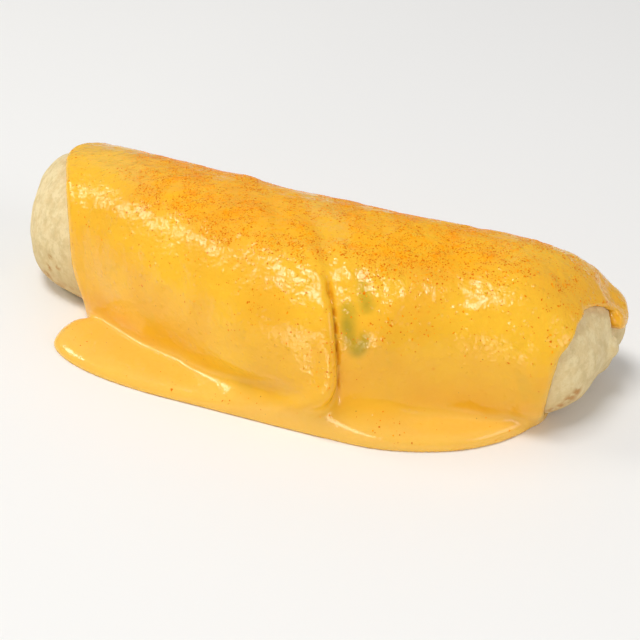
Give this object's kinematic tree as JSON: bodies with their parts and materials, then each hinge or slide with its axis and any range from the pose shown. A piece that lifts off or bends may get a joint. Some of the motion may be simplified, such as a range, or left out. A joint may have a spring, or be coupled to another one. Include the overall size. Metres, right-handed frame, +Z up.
{
  "type": "burrito",
  "caption": "Wet burrito: a rolled tortilla cut across and pushed back together, ends folded in, coated in cheese sauce that pools round its foot.",
  "frame": {"origin": "middle of the footprint, on the surface that it lies on", "axes": "+X along the roll towards the end that the sauce leaves partly bare, +Y to the back, +Z up"},
  "size_m": [0.2299, 0.1016, 0.0572],
  "materials": {
    "tortilla": "soft matte flour tortilla, cream with small toasted spots",
    "filling": "moist cooked filling",
    "chile": "wet green chile",
    "sauce": "glossy melted cheese sauce with fine red pepper specks"
  },
  "bodies": {
    "root": {"tortilla_left": "tortilla", "tortilla_right": "tortilla", "filling": "filling", "chile_strip_1": "chile", "chile_strip_2": "chile", "cheese_sauce": "sauce"}
  },
  "joints": []
}
